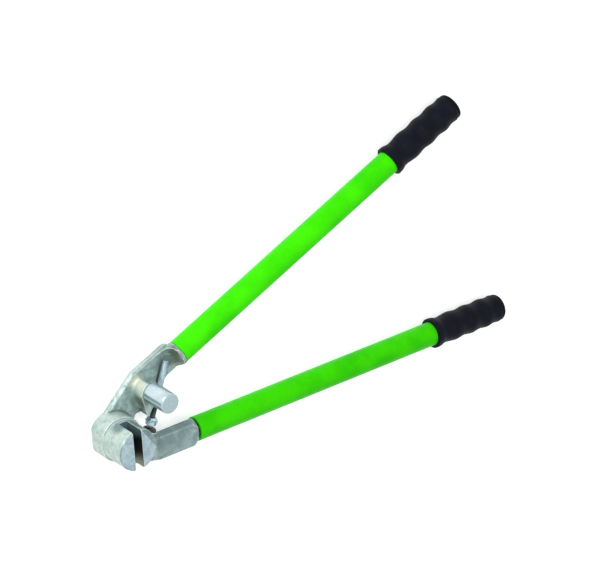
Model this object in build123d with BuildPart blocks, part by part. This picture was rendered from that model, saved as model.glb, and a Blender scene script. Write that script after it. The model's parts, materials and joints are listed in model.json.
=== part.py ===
from build123d import *
import os
from math import acos, atan2, cos, degrees, hypot, radians, sin

os.makedirs("parts", exist_ok=True)

# A two-handled bender for flat bar, lying on its back. The pivot axis is Z through the origin, and
# the slotted jaw and the bending pin stand up from it. The jaw's handle lies along +X.

# Handles: both tubes lie in one plane, each set outwards from the pivot
tube_od = 33.7
tube_wall = 3.0
handle_offset = 35.0
handle_angle = 24.0  # from the jaw's handle to the pin's handle at rest
jaw_tube_start = 122.5
pin_tube_start = 132.5
tube_end = 643.2
spigot_length = 48.0
spigot_clearance = 0.05

# Grips: a sleeve with a lip at its mouth, then a smooth neck and rings of waves, closed at the end.
# Thicknesses are over the tube, stations run from the mouth.
grip_mouth = 526.5
grip_lip_thickness = 4.65
grip_lip_station = 4.0
grip_lip_round = 1.2
grip_trough_thickness = 2.3
grip_neck_stations = (14.5, 22.0)
grip_crest_thickness = 3.9
grip_first_crest = 38.5
grip_wave_pitch = 27.6
grip_crests = 3
grip_last_crest_thickness = 3.0
grip_last_crest_station = 114.5
grip_end_wall = 4.6
grip_end_round = 5.0
grip_clearance = 0.05

# Plug inside each grip's closed end
plug_flange = 3.0
plug_depth = 18.0
plug_wall = 2.5
plug_clearance = 0.1

# Spring pin that holds each tube on its spigot, from the underside
spring_pin_radius = 3.0
spring_pin_wall = 1.0
spring_pin_length = 24.0
spring_pin_slot = 1.2
spring_pin_setback = 24.0
spring_pin_sink = 0.3

# Pivot stack, from the resting face upwards
trunnion_radius = 18.0
trunnion_chamfer = 0.5
ring_height = 0.6
ring_thickness = 1.75
ring_groove_depth = 1.2
ring_rim_radius = 21.0
ring_play = 0.05
ring_ear_angle = 12.0
ring_ear_radius = 3.2
ring_ear_hole = 1.2
ring_gap = 4.0
pivot_washer_radius = 26.0
pivot_washer_thickness = 2.0
pivot_washer_chamfer = 0.3
washer_bore_play = 0.1
pivot_play = 0.1
plate_thickness = 8.6
eye_height = 28.9
thrust_washer_thickness = 1.5
thrust_washer_proud = 0.6  # beyond the post's side
bush_wall = 2.5
bush_clearance = 0.05
bush_inset = 0.2

# Jaw: a round post with a slot for the bar
jaw_radius = 29.0
jaw_height = 38.8
jaw_rim = 2.0
slot_width = 12.8
slot_depth = 33.1

# Sloping facet on the post's face, towards the neck
facet_angle = 32.0
facet_station = 20.6
facet_drop = 5.5

# Socket block of the jaw arm: flat on top and at its sides, bevelled underneath
block_start = 57.0
block_gap = 3.0  # bare spigot between the block and its tube
block_side_margin = 0.15  # beyond the tube's side
block_half_height = 13.4
block_top_bevel = 1.2
block_under_inset = 7.5
block_under_rise = 11.0
block_end_radius = 15.8
block_end_cone = 10.0

# Neck from the post down to the block
neck_low = -28.0
neck_high = 6.0
neck_top = 60.0
neck_bevel = 5.0
relief_clearance = 1.5  # around the pin arm's eye

# Pin arm: plate, eye, lug and the scooped stub that carries its tube
eye_radius = 31.5
eye_flat = 27.4
eye_flat_angle = 156.0  # from the pin's handle
eye_corner = 10.0
plate_edge_distance = 27.2  # from the pivot axis to the plate's outer edge
shoulder_station = 64.0
shoulder_round = 14.0
plate_end = 130.0
plate_end_round = 10.5
waist_station = 103.0
waist_side = 11.5
waist_round = 12.0
web_corner = (42.0, -1.0)
web_foot = (24.0, -14.0)
plate_bevel = 2.6
scoop_start = 104.0
scoop_radius = 23.5
collar_length = 2.6
collar_proud = 0.6
collar_gap = 0.9
lug_height = 19.6
lug_left_high = (54.0, 31.0)
lug_left_low = (46.9, -4.0)
lug_half_width = 11.0
lug_corner = 4.0

# Boss that the bending pin stands on, and the pin with its shank
pin_station = 69.2
pin_side = 22.6
boss_ledge = 2.0
boss_draft = 1.2
boss_root_fillet = 4.0
pin_radius = 14.15
pin_top = 74.1
pin_chamfer = 1.6
pin_shank_radius = 10.0
pin_clearance = 0.05

# Stop screw through the lug, with its nut run back to the head
screw_radius = 4.0
screw_angle = 44.4  # from the pin's handle
screw_pin_gap = 0.35
screw_below = 48.3  # from the point beside the pin to the head's face
screw_above = 41.2
screw_travel = 10.0
screw_clearance = 0.05
screw_relief = 0.6
screw_chamfer = 0.8
thread_entry = 19.4
thread_exit = 0.6
hex_flats = 13.0
head_height = 5.3
nut_height = 4.0
nut_turn = 12.0
stack_play = 0.02
washer_radius = 8.6
washer_thickness = 1.6
washer_bore_clearance = 0.2

# Stop button pressed into the neck, met by the screw's head when the handles close
stop_close_angle = 3.0
button_radius = 9.0
button_height = 5.0
button_dome = 3.4
button_gap = 0.3
button_shank_radius = 4.0
button_shank_length = 12.0
button_shank_play = 0.5
button_seat_margin = 1.5
button_seat_depth = 12.0

overrun = 1.0  # by which a cut runs past the face it opens

# Sizes and heights that follow
tube_radius = tube_od / 2
tube_bore_radius = tube_radius - tube_wall
spigot_radius = tube_bore_radius - spigot_clearance
grip_lip_radius = tube_radius + grip_lip_thickness
grip_trough_radius = tube_radius + grip_trough_thickness
grip_crest_radius = tube_radius + grip_crest_thickness
grip_last_crest_radius = tube_radius + grip_last_crest_thickness
tube_height = grip_lip_radius
washer_bottom = ring_height + ring_thickness + ring_play
plate_back = washer_bottom + pivot_washer_thickness + pivot_play
plate_front = plate_back + plate_thickness
eye_top = plate_back + eye_height
jaw_bottom = eye_top + pivot_play + thrust_washer_thickness
jaw_top = jaw_bottom + jaw_height
slot_floor = jaw_top - slot_depth
groove_radius = trunnion_radius - ring_groove_depth
bush_radius = trunnion_radius + bush_clearance + bush_wall
relief_radius = eye_radius + relief_clearance
lug_top = plate_front + lug_height
boss_radius = pin_radius + boss_ledge
block_end = jaw_tube_start - block_gap
collar_end = pin_tube_start - collar_gap
collar_start = collar_end - collar_length

# The pin arm's own plane, turned about the pivot, and the two tubes' cross planes:
# x points sideways, y up, z along the handle
arm = Plane.XY.rotated((0, 0, handle_angle))


def tube_line(turned, offset):
    axis_point = turned.from_local_coords((0, offset, tube_height))
    return Plane(origin=axis_point, x_dir=turned.y_dir, z_dir=turned.x_dir)


def upright(angle, station, side, height):
    turned = Plane.XY.rotated((0, 0, angle))
    point = turned.from_local_coords((station, side, height))
    return Plane(origin=point, x_dir=turned.x_dir, z_dir=-turned.y_dir)


jaw_line = tube_line(Plane.XY, -handle_offset)
pin_line = tube_line(arm, handle_offset)

# The stop screw's plane: its origin is beside the bending pin, z runs from the head to the free end
screw_along = Vector(cos(radians(screw_angle)), sin(radians(screw_angle)))
screw_across = Vector(sin(radians(screw_angle)), -cos(radians(screw_angle)))
screw_beside_pin = pin_radius + screw_radius + screw_pin_gap
screw_foot = Vector(pin_station, pin_side, tube_height) + screw_across * screw_beside_pin
arm_turn = (Axis.Z, handle_angle)
screw_line = Plane(
    origin=screw_foot.rotate(*arm_turn),
    x_dir=(0, 0, 1),
    z_dir=screw_along.rotate(*arm_turn),
)

# The stop button faces the head as it stands when the handles are closed on it
head_face = screw_line.from_local_coords((0, 0, -screw_below))
button_axis = screw_line.z_dir.rotate(Axis.Z, -stop_close_angle)
button_line = Plane(
    origin=head_face.rotate(Axis.Z, -stop_close_angle) - button_axis * button_gap,
    x_dir=(0, 0, 1),
    z_dir=button_axis,
)


def spring_pin_plane(line, start):
    below = line.from_local_coords((0, -tube_radius, start + spring_pin_setback))
    return Plane(origin=below, x_dir=line.z_dir, z_dir=(0, 0, 1))


# Pieces that both handles have

def make_handle(line, start, name):
    pin_plane = spring_pin_plane(line, start)

    with BuildPart() as tube:
        with BuildSketch(line.offset(start)):
            Circle(tube_radius)
            Circle(tube_bore_radius, mode=Mode.SUBTRACT)
        extrude(amount=tube_end - start)
        with BuildSketch(pin_plane.offset(-tube_wall)):
            Circle(spring_pin_radius)
        extrude(amount=3 * tube_wall, mode=Mode.SUBTRACT)
    tube.part.label = f"{name}_tube"
    export_step(tube.part, f"parts/{name}_tube.step")

    with BuildPart() as spring_pin:
        with BuildSketch(pin_plane.offset(spring_pin_sink)):
            Circle(spring_pin_radius)
            Circle(spring_pin_radius - spring_pin_wall, mode=Mode.SUBTRACT)
            with Locations((spring_pin_radius, 0)):
                Rectangle(2 * spring_pin_radius, spring_pin_slot, mode=Mode.SUBTRACT)
        extrude(amount=spring_pin_length)
    spring_pin.part.label = f"{name}_tube_spring_pin"
    export_step(spring_pin.part, f"parts/{name}_tube_spring_pin.step")

    with BuildPart() as plug:
        with BuildSketch(line.offset(tube_end)):
            Circle(tube_radius - plug_clearance)
        extrude(amount=plug_flange)
        with BuildSketch(line.offset(tube_end)):
            Circle(tube_bore_radius - plug_clearance)
        extrude(amount=-plug_depth)
        with BuildSketch(line.offset(tube_end - plug_depth)):
            Circle(tube_bore_radius - plug_clearance - plug_wall)
        extrude(amount=plug_depth - plug_wall, mode=Mode.SUBTRACT)
    plug.part.label = f"{name}_tube_plug"
    export_step(plug.part, f"parts/{name}_tube_plug.step")

    # The grip's outline beside its axis: x is radius, y runs along the handle
    grip_length = tube_end + plug_flange + grip_end_wall - grip_mouth
    profile_plane = Plane(
        origin=line.from_local_coords((0, 0, grip_mouth)), x_dir=line.x_dir, z_dir=-line.y_dir
    )
    waves = [(grip_lip_radius, grip_lip_station)]
    for station in grip_neck_stations:
        waves.append((grip_trough_radius, station))
    for crest in range(grip_crests):
        crest_station = grip_first_crest + crest * grip_wave_pitch
        waves.append((grip_crest_radius, crest_station))
        waves.append((grip_trough_radius, crest_station + grip_wave_pitch / 2))
    waves.append((grip_last_crest_radius, grip_last_crest_station))
    end_corner = (grip_trough_radius, grip_length - grip_end_round)
    end_flat_radius = grip_trough_radius - grip_end_round
    with BuildPart() as grip:
        with BuildSketch(profile_plane):
            with BuildLine():
                mouth = Line((0, 0), (grip_lip_radius - grip_lip_round, 0))
                lip = Line(mouth @ 1, (grip_lip_radius, grip_lip_round))
                Line(lip @ 1, waves[0])
                skin = Spline(*waves, end_corner, tangents=((0, 1), (0, 1)))
                end = Line((0, grip_length), (end_flat_radius, grip_length))
                RadiusArc(skin @ 1, end @ 1, -grip_end_round)
                Line((0, 0), (0, grip_length))
            make_face()
        revolve(axis=Axis(line.origin, line.z_dir))
        with BuildSketch(line.offset(grip_mouth)):
            Circle(tube_radius + grip_clearance)
        extrude(amount=grip_length - grip_end_wall, mode=Mode.SUBTRACT)
    grip.part.label = f"{name}_grip"
    export_step(grip.part, f"parts/{name}_grip.step")


make_handle(jaw_line, jaw_tube_start, "jaw")
make_handle(pin_line, pin_tube_start, "pin")


# Jaw arm: trunnion, slotted post, neck and socket block in one casting

def bevelled_section(side_low, side_high, bottom, top, top_bevel, under_inset, under_rise):
    return [
        (side_low + under_inset, bottom),
        (side_high - under_inset, bottom),
        (side_high, bottom + under_rise),
        (side_high, top - top_bevel),
        (side_high - top_bevel, top),
        (side_low + top_bevel, top),
        (side_low, top - top_bevel),
        (side_low, bottom + under_rise),
    ]


block_half_width = tube_radius + block_side_margin
block_section = bevelled_section(
    -handle_offset - block_half_width,
    -handle_offset + block_half_width,
    tube_height - block_half_height,
    tube_height + block_half_height,
    block_top_bevel,
    block_under_inset,
    block_under_rise,
)
neck_section = bevelled_section(
    neck_low, neck_high, jaw_bottom, neck_top, neck_bevel, neck_bevel, neck_bevel
)
block_corner_radius = hypot(block_half_width, block_half_height)

with BuildPart() as jaw_casting:
    with BuildSketch(Plane.XY):
        Circle(trunnion_radius)
    extrude(amount=jaw_bottom)
    chamfer(jaw_casting.edges().group_by(Axis.Z)[0], trunnion_chamfer)
    with BuildSketch(Plane.XY.offset(ring_height)):
        Circle(trunnion_radius + overrun)
        Circle(groove_radius, mode=Mode.SUBTRACT)
    extrude(amount=ring_thickness + ring_play, mode=Mode.SUBTRACT)
    # neck and block
    with BuildSketch(Plane.YZ):
        with BuildLine():
            Polyline(*neck_section, close=True)
        make_face()
    with BuildSketch(Plane.YZ.offset(block_start)):
        with BuildLine():
            Polyline(*block_section, close=True)
        make_face()
    loft(ruled=True)
    with BuildSketch(Plane.YZ.offset(block_start)):
        with BuildLine():
            Polyline(*block_section, close=True)
        make_face()
    extrude(amount=block_end - block_start)
    # turned end of the block, which trims its corners
    with BuildSketch(Plane(origin=jaw_line.origin, x_dir=(1, 0, 0), z_dir=(0, -1, 0))):
        with BuildLine():
            Polyline(
                (block_end - block_end_cone, block_corner_radius + overrun),
                (block_end, block_end_radius),
                (block_end + overrun, block_end_radius),
                (block_end + overrun, block_corner_radius + overrun),
                close=True,
            )
        make_face()
    revolve(axis=Axis(jaw_line.origin, jaw_line.z_dir), mode=Mode.SUBTRACT)
    with BuildSketch(button_line.offset(-button_height)):
        Circle(button_radius + button_seat_margin)
    extrude(amount=-button_seat_depth)
    # round relief for the eye of the other arm
    with BuildSketch(Plane.XY.offset(ring_height)):
        Circle(relief_radius)
        Circle(trunnion_radius, mode=Mode.SUBTRACT)
    extrude(amount=jaw_bottom - ring_height, mode=Mode.SUBTRACT)
    # post and slot
    with BuildSketch(Plane.XY.offset(jaw_bottom)):
        Circle(jaw_radius)
    extrude(amount=jaw_height)
    chamfer(jaw_casting.edges().group_by(Axis.Z)[-1], jaw_rim)
    with BuildSketch(upright(facet_angle, 0, 0, 0)):
        with BuildLine():
            Polyline(
                (facet_station, jaw_top),
                (jaw_radius + overrun, jaw_top - facet_drop),
                (jaw_radius + overrun, jaw_top + overrun),
                (facet_station, jaw_top + overrun),
                close=True,
            )
        make_face()
    extrude(amount=jaw_radius, both=True, mode=Mode.SUBTRACT)
    with BuildSketch(Plane.XY.offset(slot_floor)):
        Rectangle(slot_width, 4 * jaw_radius)
    extrude(amount=slot_depth + overrun, mode=Mode.SUBTRACT)
    # spigot inside the tube
    with BuildSketch(jaw_line.offset(block_end)):
        Circle(spigot_radius)
    extrude(amount=block_gap + spigot_length)
    with BuildSketch(spring_pin_plane(jaw_line, jaw_tube_start)):
        Circle(spring_pin_radius)
    extrude(amount=spring_pin_length + spring_pin_sink, mode=Mode.SUBTRACT)
    # hole for the stop button
    with BuildSketch(button_line.offset(-button_height)):
        Circle(button_shank_radius)
    extrude(amount=-button_shank_length, mode=Mode.SUBTRACT)
jaw_casting.part.label = "jaw_casting"
export_step(jaw_casting.part, "parts/jaw_casting.step")


def along_button(face):
    return button_line.to_local_coords(face.center()).Z


with BuildPart() as stop_button:
    with BuildSketch(button_line):
        Circle(button_radius)
    extrude(amount=-button_height)
    fillet(stop_button.faces().sort_by(along_button)[-1].edges(), button_dome)
    with BuildSketch(button_line.offset(-button_height)):
        Circle(button_shank_radius)
    extrude(amount=-button_shank_length + button_shank_play)
stop_button.part.label = "stop_button"
export_step(stop_button.part, "parts/stop_button.step")


# Pivot stack

with BuildPart() as retaining_ring:
    with BuildSketch(Plane.XY.offset(ring_height + ring_play / 2)):
        Circle(ring_rim_radius)
        for side in (-1, 1):
            with PolarLocations(ring_rim_radius, 1, 180 + side * ring_ear_angle):
                Circle(ring_ear_radius)
        Circle(groove_radius, mode=Mode.SUBTRACT)
        with Locations((-ring_rim_radius, 0)):
            Rectangle(4 * ring_ear_radius, ring_gap, mode=Mode.SUBTRACT)
        for side in (-1, 1):
            with PolarLocations(ring_rim_radius, 1, 180 + side * ring_ear_angle):
                Circle(ring_ear_hole, mode=Mode.SUBTRACT)
    extrude(amount=ring_thickness)
retaining_ring.part.label = "pivot_retaining_ring"
export_step(retaining_ring.part, "parts/pivot_retaining_ring.step")

with BuildPart() as pivot_washer:
    with BuildSketch(Plane.XY.offset(washer_bottom)):
        Circle(pivot_washer_radius)
        Circle(trunnion_radius + washer_bore_play, mode=Mode.SUBTRACT)
    extrude(amount=pivot_washer_thickness)
    chamfer(pivot_washer.edges().group_by(Axis.Z)[0], pivot_washer_chamfer)
pivot_washer.part.label = "pivot_washer"
export_step(pivot_washer.part, "parts/pivot_washer.step")

with BuildPart() as thrust_washer:
    with BuildSketch(Plane.XY.offset(eye_top + pivot_play)):
        Circle(jaw_radius + thrust_washer_proud)
        Circle(trunnion_radius + washer_bore_play, mode=Mode.SUBTRACT)
    extrude(amount=thrust_washer_thickness)
thrust_washer.part.label = "jaw_thrust_washer"
export_step(thrust_washer.part, "parts/jaw_thrust_washer.step")

with BuildPart() as pivot_bush:
    with BuildSketch(Plane.XY.offset(plate_back + bush_inset)):
        Circle(bush_radius)
        Circle(trunnion_radius + bush_clearance, mode=Mode.SUBTRACT)
    extrude(amount=eye_height - 2 * bush_inset)
pivot_bush.part.label = "pivot_bush"
export_step(pivot_bush.part, "parts/pivot_bush.step")


# Pin arm: plate, eye, boss, lug, stub and collar in one casting

shoulder_side = handle_offset + tube_radius
edge_tangent = degrees(
    atan2(shoulder_side, shoulder_station)
    + acos(plate_edge_distance / hypot(shoulder_station, shoulder_side))
)
edge_start = Vector(plate_edge_distance, 0).rotate(Axis.Z, edge_tangent)
foot = Vector(pin_station, pin_side) + screw_across * screw_beside_pin
lug_inner = foot - screw_along * thread_entry - screw_across * lug_half_width
lug_outer = foot - screw_along * thread_entry + screw_across * lug_half_width
lug_back = foot + screw_along * thread_exit + screw_across * lug_half_width
lug_beside_pin = foot + screw_along * thread_exit


def outer_edge(edge):
    middle = arm.to_local_coords(edge.center())
    return middle.Y > handle_offset and middle.X < plate_end - overrun


with BuildPart() as pin_casting:
    # flat plate, from beside the eye out to the tube
    with BuildSketch(arm.offset(plate_back)):
        with BuildLine():
            FilletPolyline(
                edge_start,
                (shoulder_station, shoulder_side),
                (plate_end, shoulder_side),
                (plate_end, waist_side),
                (waist_station, waist_side),
                lug_back,
                lug_outer,
                lug_inner,
                lug_left_low,
                web_corner,
                web_foot,
                (0, 0),
                radius=[0, shoulder_round, plate_end_round, 0, waist_round, waist_round,
                        lug_corner, 0.4 * lug_corner, 0.4 * lug_corner, lug_corner, 0, 0],
                close=True,
            )
        make_face()
    extrude(amount=plate_thickness)
    chamfer(pin_casting.edges().group_by(Axis.Z)[-1].filter_by(outer_edge), plate_bevel)
    # eye, round with one flat
    with BuildSketch(arm.offset(plate_back)) as eye_outline:
        Circle(eye_radius)
        with PolarLocations(eye_flat + eye_radius, 1, eye_flat_angle):
            Rectangle(2 * eye_radius, 2 * eye_radius, mode=Mode.SUBTRACT)
        fillet(eye_outline.vertices(), eye_corner)
    extrude(amount=eye_height)
    # lug that the stop screw threads through
    with BuildSketch(arm.offset(plate_front)):
        with BuildLine():
            FilletPolyline(
                (pin_station, pin_side),
                lug_left_high,
                lug_left_low,
                lug_inner,
                lug_outer,
                lug_back,
                lug_beside_pin,
                radius=[0, 0.4 * lug_corner, 0.4 * lug_corner, 0.4 * lug_corner,
                        lug_corner, lug_corner, 0],
                close=True,
            )
        make_face()
    extrude(amount=lug_height)
    # drafted boss under the bending pin
    boss_foot_radius = boss_radius + boss_draft
    with BuildSketch(upright(handle_angle, pin_station, pin_side, plate_front)):
        with BuildLine():
            side = Polyline(
                (boss_foot_radius, boss_root_fillet),
                (boss_radius, lug_height),
                (0, lug_height),
                (0, 0),
                (boss_foot_radius + boss_root_fillet, 0),
            )
            RadiusArc(side @ 1, side @ 0, boss_root_fillet)
        make_face()
    revolve(axis=Axis(arm.from_local_coords((pin_station, pin_side, 0)), (0, 0, 1)))
    # stub around the tube's axis, scooped out above the plate
    with BuildSketch(pin_line.offset(scoop_start)):
        Circle(tube_radius)
    extrude(amount=collar_start - scoop_start)
    scoop_top = 2 * tube_od
    with BuildSketch(upright(handle_angle, 0, handle_offset, plate_front)):
        with BuildLine():
            flat = Line((scoop_start - tube_od, 0), (scoop_start, 0))
            CenterArc((scoop_start, scoop_radius), scoop_radius, 270, 90)
            wall_foot = (scoop_start + scoop_radius, scoop_radius)
            wall_top = (scoop_start + scoop_radius, scoop_top)
            Polyline(wall_foot, wall_top, (scoop_start - tube_od, scoop_top), flat @ 0)
        make_face()
    extrude(amount=tube_radius + overrun, both=True, mode=Mode.SUBTRACT)
    with BuildSketch(pin_line.offset(collar_start)):
        Circle(tube_radius + collar_proud)
    extrude(amount=collar_length)
    with BuildSketch(pin_line.offset(collar_end)):
        Circle(spigot_radius)
    extrude(amount=collar_gap + spigot_length)
    with BuildSketch(spring_pin_plane(pin_line, pin_tube_start)):
        Circle(spring_pin_radius)
    extrude(amount=spring_pin_length + spring_pin_sink, mode=Mode.SUBTRACT)
    # bores: eye, bending pin, stop screw
    with BuildSketch(Plane.XY):
        Circle(bush_radius)
    extrude(amount=jaw_top, mode=Mode.SUBTRACT)
    with BuildSketch(arm):
        with Locations((pin_station, pin_side)):
            Circle(pin_shank_radius + pin_clearance)
    extrude(amount=pin_top, mode=Mode.SUBTRACT)
    with BuildSketch(screw_line.offset(-thread_entry - lug_half_width)):
        Circle(screw_radius + screw_clearance)
    extrude(amount=thread_entry + lug_half_width + boss_radius, mode=Mode.SUBTRACT)
    with BuildSketch(screw_line.offset(boss_radius)):
        Circle(screw_radius + screw_relief)
    extrude(amount=screw_above + screw_travel + overrun - boss_radius, mode=Mode.SUBTRACT)
pin_casting.part.label = "pin_casting"
export_step(pin_casting.part, "parts/pin_casting.step")

with BuildPart() as bending_pin:
    with BuildSketch(arm.offset(lug_top)):
        with Locations((pin_station, pin_side)):
            Circle(pin_radius)
    extrude(amount=pin_top - lug_top)
    chamfer(bending_pin.edges().group_by(Axis.Z)[-1], pin_chamfer)
    with BuildSketch(arm.offset(plate_back)):
        with Locations((pin_station, pin_side)):
            Circle(pin_shank_radius)
    extrude(amount=lug_top - plate_back)
bending_pin.part.label = "bending_pin"
export_step(bending_pin.part, "parts/bending_pin.step")


# Stop screw, its nut and washer

with BuildPart() as stop_screw:
    with BuildSketch(screw_line.offset(-screw_below)):
        RegularPolygon(hex_flats / 2, 6, major_radius=False)
    extrude(amount=head_height)
    with BuildSketch(screw_line.offset(-screw_below + head_height)):
        Circle(screw_radius)
    extrude(amount=screw_below - head_height + screw_above)
    free_end = stop_screw.faces().filter_by(screw_line).sort_by(Axis(screw_line.origin, screw_line.z_dir))
    chamfer(free_end[-1].edges(), screw_chamfer)
stop_screw.part.label = "stop_screw"
export_step(stop_screw.part, "parts/stop_screw.step")

washer_start = -screw_below + head_height + stack_play
nut_start = washer_start + washer_thickness + stack_play

with BuildPart() as stop_washer:
    with BuildSketch(screw_line.offset(washer_start)):
        Circle(washer_radius)
        Circle(screw_radius + washer_bore_clearance, mode=Mode.SUBTRACT)
    extrude(amount=washer_thickness)
stop_washer.part.label = "stop_screw_washer"
export_step(stop_washer.part, "parts/stop_screw_washer.step")

with BuildPart() as lock_nut:
    with BuildSketch(screw_line.offset(nut_start)):
        RegularPolygon(hex_flats / 2, 6, major_radius=False, rotation=nut_turn)
        Circle(screw_radius + screw_clearance, mode=Mode.SUBTRACT)
    extrude(amount=nut_height)
lock_nut.part.label = "stop_lock_nut"
export_step(lock_nut.part, "parts/stop_lock_nut.step")
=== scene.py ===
import bpy, bmesh, json, math
from mathutils import Matrix, Vector

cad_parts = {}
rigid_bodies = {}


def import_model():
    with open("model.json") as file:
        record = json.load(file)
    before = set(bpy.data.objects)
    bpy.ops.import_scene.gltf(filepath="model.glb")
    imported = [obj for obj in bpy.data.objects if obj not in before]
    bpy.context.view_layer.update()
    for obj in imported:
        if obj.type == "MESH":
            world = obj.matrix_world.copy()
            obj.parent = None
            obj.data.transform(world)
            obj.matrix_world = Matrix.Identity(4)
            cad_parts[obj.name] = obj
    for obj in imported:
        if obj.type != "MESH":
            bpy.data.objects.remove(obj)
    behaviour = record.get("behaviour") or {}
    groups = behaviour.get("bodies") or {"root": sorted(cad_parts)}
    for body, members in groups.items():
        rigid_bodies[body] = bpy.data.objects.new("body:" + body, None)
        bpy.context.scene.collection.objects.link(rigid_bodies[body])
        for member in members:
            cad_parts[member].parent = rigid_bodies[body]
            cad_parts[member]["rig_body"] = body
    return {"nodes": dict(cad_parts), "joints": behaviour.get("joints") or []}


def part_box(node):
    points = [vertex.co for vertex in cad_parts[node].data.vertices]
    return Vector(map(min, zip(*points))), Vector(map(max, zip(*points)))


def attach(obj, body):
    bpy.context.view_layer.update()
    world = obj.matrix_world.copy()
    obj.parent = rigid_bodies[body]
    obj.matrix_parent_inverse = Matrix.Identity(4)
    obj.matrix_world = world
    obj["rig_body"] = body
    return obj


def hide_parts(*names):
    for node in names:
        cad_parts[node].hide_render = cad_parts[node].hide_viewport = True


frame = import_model()
nodes = frame["nodes"]
joints = {j["name"]: j for j in frame["joints"]}
scene = bpy.context.scene
scene.view_settings.view_transform = "Standard"
print("frame loaded:", len(nodes), "nodes")


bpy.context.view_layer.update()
screwAxis = Vector(joints["stop_screw_turn"]["axis"]).normalized()
screwOrigin = Vector(joints["stop_screw_turn"]["pos_m"])
pivotOrigin, upAxis = Vector((0, 0, 0)), Vector((0, 0, 1))


def colour(r, g, b):
    # a colour as seen on a screen, 0 to 255, made linear
    return tuple(pow(c / 255, 2.2) for c in (r, g, b)) + (1.0,)


def mm(*lengths):
    # lengths are given in millimetres, and the scene is in metres
    made = tuple(x / 1000 for x in lengths)
    return made if len(made) > 1 else made[0]


# small helpers for shader trees

def addInput(tree, socket, value):
    if isinstance(value, bpy.types.NodeSocket):
        tree.links.new(value, socket)
    else:
        socket.default_value = value


def addNode(tree, kind, settings=None, **values):
    # i0, i1 and so on stand for inputs by number, other words for inputs by name
    node = tree.nodes.new(kind)
    for key, value in (settings or {}).items():
        setattr(node, key, value)
    for key, value in values.items():
        byNumber = key[0] == "i" and key[1:].isdigit()
        addInput(tree, node.inputs[int(key[1:]) if byNumber else key.replace("_", " ")], value)
    return node


def calc(tree, operation, a, b=0.0, c=0.0):
    node = addNode(tree, "ShaderNodeMath", {"operation": operation}, i0=a, i1=b)
    if operation in ("MULTIPLY_ADD", "WRAP"):
        addInput(tree, node.inputs[2], c)
    return node.outputs[0]


def product(tree, first, *others):
    for other in others:
        first = calc(tree, "MULTIPLY", first, other)
    return first


def ramp(tree, value, low, high, toLow=0.0, toHigh=1.0, smooth=True):
    kind = "SMOOTHSTEP" if smooth else "LINEAR"
    node = addNode(tree, "ShaderNodeMapRange", {"interpolation_type": kind})
    for i, v in enumerate((value, low, high, toLow, toHigh)):
        addInput(tree, node.inputs[i], v)
    return node.outputs[0]


def fall(tree, value, low, high):
    return ramp(tree, value, low, high, 1.0, 0.0)


def within(tree, value, low, high, soft):
    return product(tree, ramp(tree, value, low - soft, low), fall(tree, value, high, high + soft))


def blendColour(tree, mask, a, b, kind="MIX"):
    node = addNode(tree, "ShaderNodeMix", {"data_type": "RGBA", "blend_type": kind})
    for i, value in ((0, mask), (6, a), (7, b)):
        addInput(tree, node.inputs[i], value)
    return node.outputs[2]


def noise(tree, vector, scale, detail=4.0, rough=0.5, distortion=0.0):
    return addNode(tree, "ShaderNodeTexNoise", {"noise_dimensions": "3D"}, Vector=vector, Scale=scale,
                   Detail=detail, Roughness=rough, Distortion=distortion).outputs["Fac"]


def axes(tree, vector):
    return addNode(tree, "ShaderNodeSeparateXYZ", None, i0=vector).outputs


def fromPoint(tree, coords, point):
    # coordinates counted from a point
    return addNode(tree, "ShaderNodeVectorMath", {"operation": "SUBTRACT"}, i0=coords, i1=tuple(point)).outputs[0]


def dot(tree, vector, direction):
    node = addNode(tree, "ShaderNodeVectorMath", {"operation": "DOT_PRODUCT"}, i0=vector, i1=tuple(direction))
    return node.outputs["Value"]


def flatDistance(tree, at):
    # distance from the Z axis
    flat = addNode(tree, "ShaderNodeCombineXYZ", None, i0=at["X"], i1=at["Y"]).outputs[0]
    return addNode(tree, "ShaderNodeVectorMath", {"operation": "LENGTH"}, i0=flat).outputs["Value"]


def makeGroup(name, inputs, outputs):
    tree = bpy.data.node_groups.new(name, "ShaderNodeTree")
    for label, kind, value in inputs:
        socket = tree.interface.new_socket(label, in_out="INPUT", socket_type="NodeSocket" + kind)
        if value is not None:
            socket.default_value = value
    for label, kind in outputs:
        tree.interface.new_socket(label, in_out="OUTPUT", socket_type="NodeSocket" + kind)
    return tree, tree.nodes.new("NodeGroupInput").outputs, tree.nodes.new("NodeGroupOutput").inputs


castSkin = {
    "cloudEdges": (.36, .64), "blotScale": 2.6, "blotEdges": (.54, .70),
    "speckScale": 900.0, "speckEdges": (.60, .74), "speckAmount": .30,
    "grainScale": 1500.0, "grain": .45, "lumpScale": 330.0, "lump": .8,
}


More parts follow.
